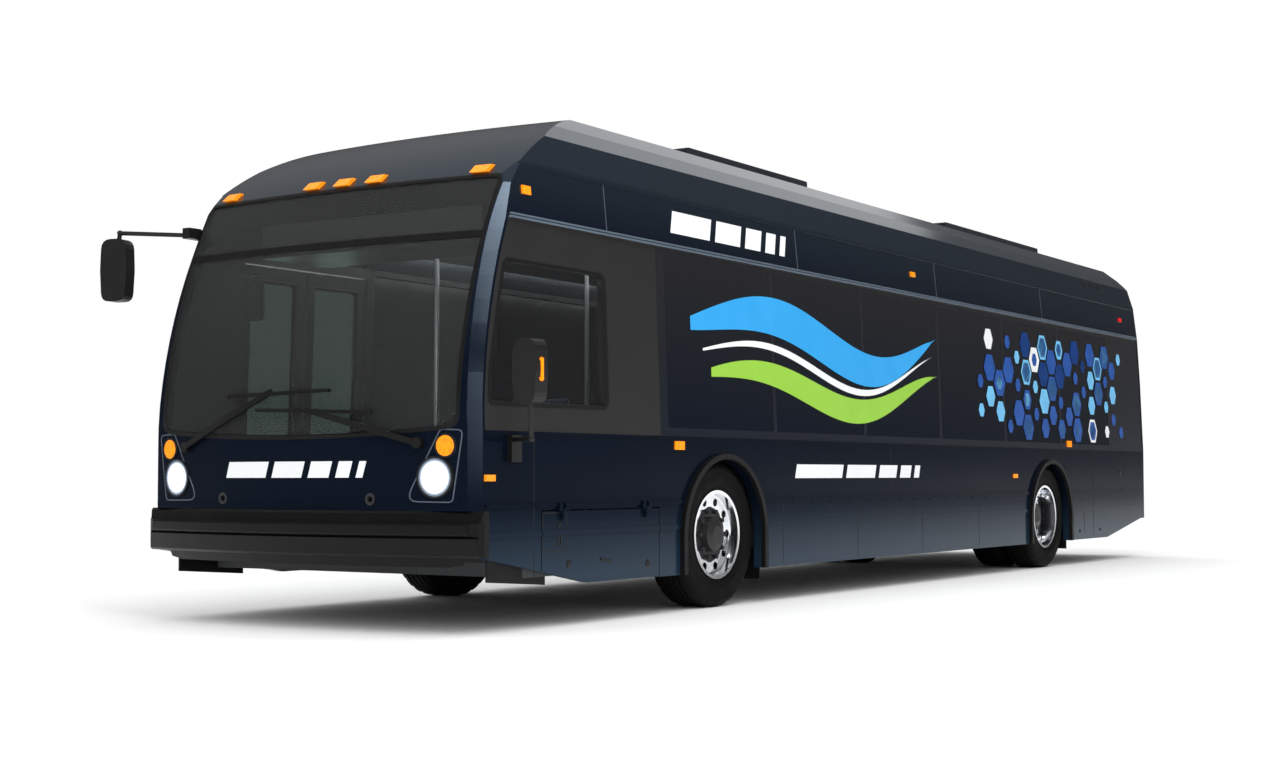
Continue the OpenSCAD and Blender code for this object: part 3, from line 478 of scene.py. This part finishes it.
def spaced(outline, step):
    """The same closed outline with no edge longer than a step."""
    out = []
    for i, a in enumerate(outline):
        b = outline[(i + 1) % len(outline)]
        parts = max(1, math.ceil(math.dist(a, b) / step))
        out += [(a[0] + (b[0] - a[0]) * k / parts, a[1] + (b[1] - a[1]) * k / parts) for k in range(parts)]
    return out


def front_x(y, z):
    """Place of the front face at an offset from the middle and a height."""
    rise = max(0.0, z - SCREEN_Z)
    lean = max(0.0, SCREEN_R - math.sqrt((SCREEN_R + 0.006) ** 2 - rise * rise))
    return NOSE_X - BOW_R + math.sqrt((BOW_R - lean) ** 2 - y * y)


def on_front(y, z, lift):
    return Vector((front_x(y, z) + lift, y, z))


def on_side(side):
    def place(x, z, lift):
        return Vector((x, side * (side_y(z) + lift), z))
    return place


def add_bead(mesh, outline, place, wide, high, sink=0.001, closed=True):
    """A rounded bead along an outline on a skin."""
    count = len(outline)
    rows = []
    for i, p in enumerate(outline):
        before = outline[i - 1] if closed or i else p
        after = outline[(i + 1) % count] if closed or i < count - 1 else p
        along = (Vector(after) - Vector(before)).normalized()
        across = Vector((-along.y, along.x)) * wide / 2
        rows.append([place(p[0] + across.x * k, p[1] + across.y * k, lift)
                     for k, lift in ((-1, -sink), (-0.6, high), (0.6, high), (1, -sink))])
    add_loft(mesh, rows, closed_rows=closed)


def add_patch(mesh, outline, place, lift, step=0.12):
    """A flat outline cut into strips and laid on a skin."""
    patch = bmesh.new()
    patch.faces.new([patch.verts.new((a, b, 0.0)) for a, b in outline])
    for axis in (0, 1):
        values = [p[axis] for p in outline]
        start, end = min(values), max(values)
        for k in range(1, math.ceil((end - start) / step)):
            at = [0.0, 0.0, 0.0]
            at[axis] = start + k * step
            way = [float(axis == i) for i in range(3)]
            bmesh.ops.bisect_plane(patch, geom=patch.verts[:] + patch.edges[:] + patch.faces[:],
                                   plane_co=at, plane_no=way)
    for vert in patch.verts:
        vert.co = place(vert.co.x, vert.co.y, lift)
    add_mesh(mesh, patch)


# Tyres with ribs on the walls, four grooves and cut shoulders

TYRE_R = 0.490
GROOVE_R = 0.478
GROOVES = (-0.066, -0.022, 0.022, 0.066)
# depth of the cuts across the shoulders, and where the shoulders start in radius and offset
SHOULDER_CUT = 0.007
SHOULDER = (0.470, 0.080)
# radius and offset from the tyre's middle, from the bead to the tread
TYRE_WALL = [
    (0.2865, 0.112), (0.308, 0.126), (0.324, 0.1315), (0.328, 0.1365), (0.346, 0.1400), (0.350, 0.1432),
    (0.372, 0.1440), (0.410, 0.1450), (0.438, 0.1425), (0.446, 0.1440), (0.460, 0.1370), (0.474, 0.1300),
    (0.488, 0.1120)]
# end of the bus, axle, offsets of its tyres inwards, and the CAD nodes they stand for
TYRE_SETS = [
    ("front", FRONT_AXLE_X, (0,), "tyre_front_"),
    ("rear", REAR_AXLE_X, (0, TWIN_GAP), "tyres_rear_")]


def tyre_profile():
    """Radius against offset across the tyre, from bead to bead."""
    crown = []
    for groove in GROOVES:
        crown += [(TYRE_R, groove - 0.008), (GROOVE_R, groove - 0.005)]
        crown += [(GROOVE_R, groove + 0.005), (TYRE_R, groove + 0.008)]
    return [(r, -off) for r, off in TYRE_WALL] + crown + [(r, off) for r, off in reversed(TYRE_WALL)]


def add_tyre(mesh, x, y, count=120):
    rows = []
    for i in range(count):
        turn = 2 * math.pi * i / count
        cut = SHOULDER_CUT if i % 4 == 0 else 0.0
        row = []
        for r, off in tyre_profile():
            reach = r - cut if r > SHOULDER[0] and abs(off) > SHOULDER[1] else r
            row.append((x + reach * math.cos(turn), y + off, WHEEL_Z + reach * math.sin(turn)))
        rows.append(row)
    add_loft(mesh, rows, closed_rows=True, closed_ends=True)


for side, word in SIDES:
    for end, x, offsets, node in TYRE_SETS:
        mesh = bmesh.new()
        for offset in offsets:
            add_tyre(mesh, x, side * (TYRE_Y - offset))
        obj = add_piece(f"tread_{end}_{word}", mesh, tyre_rubber, f"wheel_{end}_{word}")
        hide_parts(node + word)


# Seats: crowned pads on shells and pedestals

# rear edge of the cushion, middle across, floor height and width
BENCHES = [(x, side * 0.740, FLOOR_Z, 0.860) for x in (2.050, 1.250, 0.450, -0.350) for side in (-1, 1)]
BENCHES += [(-4.350, side * 0.740, DECK_Z, 0.860) for side in (-1, 1)]
BENCHES += [(-5.500, 0.0, DECK_Z, 2.320), (4.420, 0.620, FLOOR_Z, 0.460)]
# length and thickness of the pads
CUSHION = (0.430, 0.058)
BACK = (0.560, 0.048)
SHELL = 0.011
SEAT_WIDE = 0.430
PAD_GAP = 0.012
# heights of the pedestal and of the cushion above the floor, and the gap that keeps pieces apart
PEDESTAL_Z = 0.380
SEAT_Z = 0.450
HAIR = 0.0003
BACK_LEAN = math.radians(-12)


def add_pad(mesh, long, wide, thick, place, cuts=11):
    """A pad crowned on its upper face, with sides pulled in between the corners and two sewn channels."""
    pad = bmesh.new()
    bmesh.ops.create_cube(pad, size=2.0)
    bmesh.ops.subdivide_edges(pad, edges=pad.edges[:], cuts=cuts, use_grid_fill=True)
    for vert in pad.verts:
        u, v, w = vert.co
        crown = (1 - u ** 4) * (1 - v ** 4)
        channel = 0.12 * math.exp(-((abs(v) - 0.62) / 0.1) ** 2) * (1 - u ** 4)
        high = 0.70 + 0.30 * crown - channel if w > 0 else 1.0
        edge = 1 - 0.05 * w * w
        pull_u, pull_v = 1 - 0.025 * (1 - v * v), 1 - 0.025 * (1 - u * u)
        vert.co = (u * long / 2 * edge * pull_u, v * wide / 2 * edge * pull_v, w * thick / 2 * high)
    add_mesh(mesh, pad, place)


# turns a pad that lies flat into one that stands with its crown forward
STAND = Matrix(((0, 0, 1, 0), (0, -1, 0, 0), (1, 0, 0, 0), (0, 0, 0, 1)))


def seats():
    cushions, backs, frames = bmesh.new(), bmesh.new(), bmesh.new()
    for x, y, z, width in BENCHES:
        count = max(1, round(width / SEAT_WIDE))
        pitch = width / count
        lean = Matrix.Translation((x, y, z + SEAT_Z + HAIR)) @ Matrix.Rotation(BACK_LEAN, 4, "Y")
        shell = bmesh.new()
        add_box(shell, (0.0, -width / 2, 0.0), (SHELL, width / 2, BACK[0]))
        add_mesh(frames, shell, lean)
        base = z + PEDESTAL_Z + HAIR
        add_box(frames, (x + 0.120, y - width / 4, z), (x + 0.320, y + width / 4, z + PEDESTAL_Z), 0.02)
        add_box(frames, (x, y - width / 2, base), (x + CUSHION[0], y + width / 2, base + SHELL))
        for k in range(count):
            across = (k + 0.5) * pitch - width / 2
            add_pad(cushions, CUSHION[0], pitch - PAD_GAP, CUSHION[1],
                    Matrix.Translation((x + CUSHION[0] / 2, y + across, z + SEAT_Z - CUSHION[1] / 2)))
            add_pad(backs, BACK[0], pitch - PAD_GAP, BACK[1],
                    lean @ Matrix.Translation((0.060 - BACK[1] / 2, across, BACK[0] / 2)) @ STAND)
    for name, mesh, material in (("seat_cushions", cushions, seat_cloth), ("seat_backs", backs, seat_cloth),
                                 ("seat_frames", frames, seat_shell)):
        obj = add_piece(name, mesh, material, "chassis")
        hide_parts("seats")


seats()


# Front: rubber round the glass, lamp panels and bezels

def screen_foot(y):
    """Height of the windscreen's lower edge."""
    return SCREEN_LOW + y * y / (2 * SCREEN_ARC)


# half the height of the bar between windscreen and sign pane
BAR = 0.008
FOOT = [(0.2 * k - 0.9, screen_foot(0.2 * k - 0.9), 0) for k in range(10)]
SCREEN = rounded(
    [(-SCREEN_Y, screen_foot(SCREEN_Y), 0.08)] + FOOT + [(SCREEN_Y, screen_foot(SCREEN_Y), 0.08)]
    + [(y, SIGN_BAR_Z - BAR, 0.012) for y in (SCREEN_Y, -SCREEN_Y)])
SIGN = rounded(
    [(y, SIGN_BAR_Z + BAR, 0.012) for y in (-SCREEN_Y, SCREEN_Y)]
    + [(y, SCREEN_TOP, 0.04) for y in (SCREEN_Y, -SCREEN_Y)])
DRIVER_WINDOW = rounded([
    (4.550, 1.303, 0.05), (5.735, 1.295, 0.03), (5.715, 1.508, 0),
    (5.560, 2.123, 0.06), (4.550, 2.123, 0.06)])
LAMP_PANEL = [(1.060, 1.150, 0.03), (0.829, 0.745, 0.05), (1.140, 0.742, 0.03), (1.205, 1.145, 0.03)]


def front_trims():
    rubber, seams, bezels = bmesh.new(), bmesh.new(), bmesh.new()
    for outline in (SCREEN, SIGN):
        add_bead(rubber, spaced(outline, 0.08), on_front, 0.032, 0.004, sink=0.007)
    for side in (-1, 1):
        # the lamp panel's outline is a bead with the painted highlight
        panel = [(side * y, z) for y, z in spaced(rounded(LAMP_PANEL), 0.06)]
        add_bead(seams, panel, on_front, 0.009, 0.0025)
        for y, z, r in LAMPS:
            add_bead(bezels, circle(side * y, z, r), on_front, 0.016, 0.011)
    add_bead(rubber, spaced(DRIVER_WINDOW, 0.08), on_side(1), 0.034, 0.004, sink=0.007)
    add_piece("screen_rubber", rubber, black_rubber)
    add_piece("lamp_panel_highlit_seams", seams, seam_highlight)
    add_piece("lamp_bezels", bezels, trim_black)


front_trims()


# Sides: seams, latches, ports and slots

def upright(z0, z1, *places):
    """Upright seams: both ends of each along the bus and in height."""
    return [(x, z0, x, z1) for x in places]


DARK_SEAMS = upright(0.270, 1.125, 5.320, -4.280) + upright(0.270, 0.700, 2.330, 1.130, -0.070)
DARK_SEAMS += upright(0.735, 1.125, 0.530) + upright(0.300, 0.530, -4.000)
LEFT_SEAMS = upright(BELT_Z, GUTTER_Z, PANEL_X) + upright(0.270, 0.700, -1.270)
# upright seams on the cove that carry the painted highlight
HIGHLIT_SEAMS = upright(2.410, 2.695, 4.500, 2.000, -0.500, -3.000)
# screws along the top of the skirt panels, then two filler ports and two tie points:
# place along the bus, height and radius
LATCHES = [(2.480 - 0.300 * k, 0.690, 0.009) for k in range(14)]
PORTS = [(-5.130, 0.911, 0.030), (-5.220, 0.730, 0.030), (-3.870, 0.330, 0.018), (-4.470, 0.330, 0.018)]


def add_seams(mesh, seams, place, wide, high):
    for x0, z0, x1, z1 in seams:
        steps = max(2, math.ceil(math.hypot(x1 - x0, z1 - z0) / 0.3))
        line = [(x0 + (x1 - x0) * k / steps, z0 + (z1 - z0) * k / steps) for k in range(steps + 1)]
        add_bead(mesh, line, place, wide, high, closed=False)


def side_trims(side, word):
    dark, light, knobs = bmesh.new(), bmesh.new(), bmesh.new()
    place = on_side(side)
    add_seams(dark, DARK_SEAMS + (LEFT_SEAMS if side > 0 else []), place, 0.007, 0.0012)
    # the light seams carry the painted highlight
    add_seams(light, HIGHLIT_SEAMS, place, 0.008, 0.0015)
    for x, z, r in LATCHES + PORTS:
        if side > 0 or x > -0.9:
            rings = [(r, 0), (r, 0.004), (r * 0.8, 0.007), (r * 0.75, 0.005), (r * 0.2, 0.005)]
            add_disc(knobs, place(x, z, -0.002), (0, side, 0), rings)
    add_piece(f"seams_dark_{word}", dark, seam_dark)
    add_piece(f"seams_highlit_{word}", light, seam_highlight)
    add_piece(f"latches_{word}", knobs, trim_black)


for side, word in SIDES:
    side_trims(side, word)


def fairing_slots():
    """Three leaning slots high at the rear of the left side."""
    mesh = bmesh.new()
    low, high, long, lean = 2.850, 2.890, 0.130, 0.030
    for k in range(3):
        x = -4.480 - 0.220 * k
        outline = [(x, low), (x + long, low), (x + long + lean, high), (x + lean, high)]
        add_patch(mesh, outline, on_side(1), 0.002)
    add_piece("fairing_slots", mesh, trim_black)


fairing_slots()


def hatch_trims():
    """Latch plate, its slot, a grip and two locks on the hatch in the left skirt."""
    place = on_side(1)
    mesh = bmesh.new()
    plate = rounded_box(4.995, 0.450, 5.235, 0.672, 0.012)
    add_bead(mesh, spaced(plate, 0.05), place, 0.007, 0.002)
    slot = rounded_box(5.052, 0.483, 5.082, 0.600, 0.012)
    add_bead(mesh, spaced(slot, 0.03), place, 0.012, 0.005)
    add_bead(mesh, [(4.520, 0.370), (4.580, 0.372), (4.640, 0.385)], place, 0.020, 0.006, closed=False)
    lock = [(0.024, 0), (0.024, 0.004), (0.017, 0.008), (0.014, 0.005), (0.003, 0.005)]
    for x, z in ((4.974, 0.368), (4.114, 0.338)):
        add_disc(mesh, place(x, z, -0.002), (0, 1, 0), lock)
    add_piece("hatch_latches", mesh, trim_black, "skirt_hatch")


hatch_trims()


# Doors: rubber round the panes and a bar across each

def door_trims():
    for leaf in LEAVES:
        low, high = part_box(leaf)
        x0, x1, z0, z1 = low.x + 0.075, high.x - 0.075, low.z + 0.125, high.z - 0.095
        pane = rounded_box(x0, z0, x1, z1, 0.05)
        mesh = bmesh.new()
        add_bead(mesh, spaced(pane, 0.2), on_side(-1), 0.024, 0.003, sink=0.004)
        add_seams(mesh, [(x0 + 0.06, 1.05, x1 - 0.06, 1.05)], on_side(-1), 0.030, 0.004)
        add_piece(f"{leaf}_rubber", mesh, black_rubber, leaf)


door_trims()


# Mirrors: glass behind each head, a turn strip on the low one, and a mirror inside

def mirror_trims():
    glass_mesh, strip_mesh, frames = bmesh.new(), bmesh.new(), bmesh.new()
    for x, side, z, high in ((5.770, 1, 1.285, 0.355), (5.880, -1, 2.005, 0.400)):
        head = Matrix.Translation((x, side * 1.600, z)) @ Matrix.Rotation(math.radians(-side * 12), 4, "Z")
        outline = rounded([(-0.078, 0.020, 0.045), (0.078, 0.020, 0.045),
                           (0.080, high - 0.022, 0.05), (-0.080, high - 0.022, 0.05)])

        def on_head(a, b, lift):
            return head @ Vector((-0.0455 - lift, a, b))

        add_patch(glass_mesh, outline, on_head, 0.001)
        add_bead(frames, spaced(outline, 0.05), on_head, 0.01, 0.003)
        if side > 0:
            strip = bmesh.new()
            add_box(strip, (-0.016, 0.085, 0.120), (0.016, 0.1035, 0.250), 0.006)
            add_mesh(strip_mesh, strip, head)
    add_box(frames, (5.395, -0.930, 1.880), (5.425, -0.770, 2.130), 0.012)
    add_box(frames, (5.360, -1.030, 2.170), (5.390, -0.840, 2.190), 0.006)
    add_box(frames, (5.370, -0.860, 2.100), (5.396, -0.840, 2.185), 0.006)
    add_piece("mirror_glass", glass_mesh, mirror_glass)
    add_piece("mirror_strip", strip_mesh, amber_lamp)
    add_piece("mirror_rims", frames, trim_black)


mirror_trims()


# Light strips under the ceiling

def ceiling_lights():
    mesh = bmesh.new()
    half, z0, z1 = 0.030, CEILING_Z - 0.016, CEILING_Z - 0.0005
    for y in (-0.560, 0.560):
        for k in range(7):
            x = 3.350 - 1.250 * k
            add_box(mesh, (x, y - half, z0), (x + 1.150, y + half, z1), 0.006)
    add_piece("ceiling_lights", mesh, strip_light)


ceiling_lights()


# Rear lid: rows of louvres

def louvres():
    mesh = bmesh.new()
    for k in range(9):
        z = 0.860 + 0.050 * k
        add_box(mesh, (-5.945, -0.640, z), (-5.933, 0.640, z + 0.022), 0.004)
    add_piece("lid_louvres", mesh, trim_black, "rear_lid")


louvres()


# Printed livery: waves, hexagons and leaning bars

def wave(x0, x1, z, wide, swing, shift, count=48):
    """A ribbon that swings up and down and thins out to both ends, as a row of quads."""
    edges = []
    for k in range(count + 1):
        t = k / count
        middle = z + swing * math.sin(2 * math.pi * (1.15 * t + shift)) * (0.4 + 0.6 * t)
        half = wide / 2 * math.sin(math.pi * min(1.0, 0.06 + t)) ** 0.7
        edges.append((x0 + (x1 - x0) * t, middle - half, middle + half))
    return [[(a[0], a[1]), (b[0], b[1]), (b[0], b[2]), (a[0], a[2])] for a, b in zip(edges, edges[1:])]


def honeycomb(x0, x1, z0, z1, r, keep, seed):
    """Cells of a honeycomb, kept by a seeded draw that thins out to both ends."""
    draw = random.Random(seed)
    cells = []
    columns = int((x0 - x1) / (1.5 * r))
    for i in range(columns):
        for k in range(int((z1 - z0) / (math.sqrt(3) * r))):
            centre = (x0 - r - 1.5 * r * i, z0 + r + math.sqrt(3) * r * (k + 0.5 * (i % 2)))
            inside = z0 + r * 0.9 <= centre[1] <= z1 - r * 0.9
            if inside and draw.random() < keep * math.sin(math.pi * (i + 0.5) / columns):
                cells.append(circle(*centre, r * draw.choice((0.45, 0.7, 0.9)), 6))
    return cells


def bars(x, z, tall, longs, gap, lean=0.3):
    """Leaning bars side by side from x towards the rear."""
    out = []
    for long in longs:
        out.append([(x, z), (x - long, z), (x - long - lean * tall, z + tall), (x - lean * tall, z + tall)])
        x -= long + gap
    return out


PRINT_LIFT = 0.0014
# tint, material, seed of the draw and share of the cells that is kept
CELLS = (("blue", print_blue, 3, 0.95), ("sky", print_sky, 8, 0.5), ("white", print_white, 21, 0.2))


def add_print(name, outlines, material, place, lift=PRINT_LIFT, step=0.4):
    mesh = bmesh.new()
    for outline in outlines:
        add_patch(mesh, outline, place, lift, step)
    add_piece(name, mesh, material, "chassis")


def livery(side, word):
    place = on_side(side)
    add_print(f"wave_cyan_{word}", wave(3.550, -0.600, 1.900, 0.300, 0.240, 0.00), print_cyan, place)
    add_print(f"wave_lime_{word}", wave(3.300, -0.600, 1.530, 0.200, 0.200, 0.12), print_lime, place)
    add_print(f"wave_white_{word}", wave(3.400, -0.500, 1.700, 0.055, 0.220, 0.06), print_white, place)
    far = -1.000 if side > 0 else -2.150
    for tint, material, seed, keep in CELLS:
        cells = honeycomb(far, -5.600, 1.190, 2.330, 0.150, keep, seed)
        add_print(f"cells_{tint}_{word}", cells, material, place, PRINT_LIFT + 0.0006 * (seed % 5))
    cove_bars = bars(3.750, 2.480, 0.150, [0.5, 0.34, 0.22, 0.14, 0.08], 0.07)
    skirt_bars = bars(2.150, 0.870, 0.100, [0.75, 0.5, 0.32, 0.2, 0.1], 0.07)
    add_print(f"bars_cove_{word}", cove_bars, print_white, place)
    add_print(f"bars_skirt_{word}", skirt_bars, print_white, place)


for side, word in SIDES:
    livery(side, word)
nose_bars = bars(0.560, 0.880, 0.095, [0.34, 0.24, 0.16, 0.1, 0.05], 0.05)
add_print("bars_nose", [[(-y, z) for y, z in bar] for bar in nose_bars], print_white, on_front, step=0.08)


# Floor, light and camera

# the front left pillar, whose bevel catches a row of tall lights
PILLAR = (5.5, 1.27, 1.9)


def studio():
    bpy.ops.mesh.primitive_plane_add(size=400)
    ground = bpy.context.object
    ground.name = "ground"
    pale = surface("pale floor", (0.83, 0.83, 0.83), 0.95, specular=0.05, vary=0.01, scale=0.5)
    ground.data.materials.append(pale)
    scene = bpy.context.scene
    scene.view_settings.view_transform = "Standard"
    if scene.world is None:
        scene.world = bpy.data.worlds.new("studio")
    scene.world.use_nodes = True
    tree = scene.world.node_tree
    height = tree.nodes.new("ShaderNodeSeparateXYZ")
    tree.links.new(tree.nodes.new("ShaderNodeTexCoord").outputs["Generated"], height.inputs["Vector"])
    path = tree.nodes.new("ShaderNodeLightPath")
    soft = range_node(tree, height.outputs["Z"], 0.0, 1.0, 0.55, 1.6)
    gloss = range_node(tree, height.outputs["Z"], 0.25, 0.95, 0.08, 0.6)
    lit = mix_node(tree, path.outputs["Is Glossy Ray"], soft, gloss)
    seen = mix_node(tree, path.outputs["Is Camera Ray"], lit, (1.0, 1.0, 1.0))
    tree.links.new(seen, tree.nodes["Background"].inputs["Color"])
    for name, spot, aim, wide, tall, power in (
            ("over_light", (2, 3, 11), (0, 0, 1), 8, 8, 300),
            ("roof_light", (-6.0, -1.0, 9.5), (3.5, 1.0, 3.0), 5.0, 7.0, 110),
            ("corner_light_low", (10.6, 7.9, 2.4), PILLAR, 0.9, 3.2, 60),
            ("corner_light_mid", (9.3, 6.6, 6.6), PILLAR, 0.9, 4.2, 90),
            ("corner_light_high", (7.7, 5.0, 8.5), PILLAR, 0.9, 4.2, 90)):
        data = bpy.data.lights.new(name, "AREA")
        data.energy = power
        data.shape = "RECTANGLE"
        data.size = wide
        data.size_y = tall
        obj = bpy.data.objects.new(name, data)
        obj.location = spot
        obj.rotation_euler = (Vector(aim) - Vector(spot)).to_track_quat("-Z", "Y").to_euler()
        obj.visible_glossy = name != "over_light"
        scene.collection.objects.link(obj)


def photo_camera():
    yaw, pitch, roll = -2.573141, 0.041255, -0.0017065
    ahead = Vector((math.cos(pitch) * math.cos(yaw), math.cos(pitch) * math.sin(yaw), math.sin(pitch)))
    right = ahead.cross(Vector((0, 0, 1))).normalized()
    up = right.cross(ahead)
    c, s = math.cos(roll), math.sin(roll)
    right, up = c * right + s * up, c * up - s * right
    data = bpy.data.cameras.new("camera")
    data.sensor_width = 36.0
    data.lens = 51.26
    data.shift_x = -0.01845
    data.shift_y = 0.01298
    data.clip_end = 500.0
    obj = bpy.data.objects.new("camera", data)
    place = Matrix((right, up, -ahead)).transposed().to_4x4()
    place.translation = (13.730, 7.520, 0.886)
    obj.matrix_world = place
    bpy.context.scene.collection.objects.link(obj)
    bpy.context.scene.camera = obj


studio()
photo_camera()
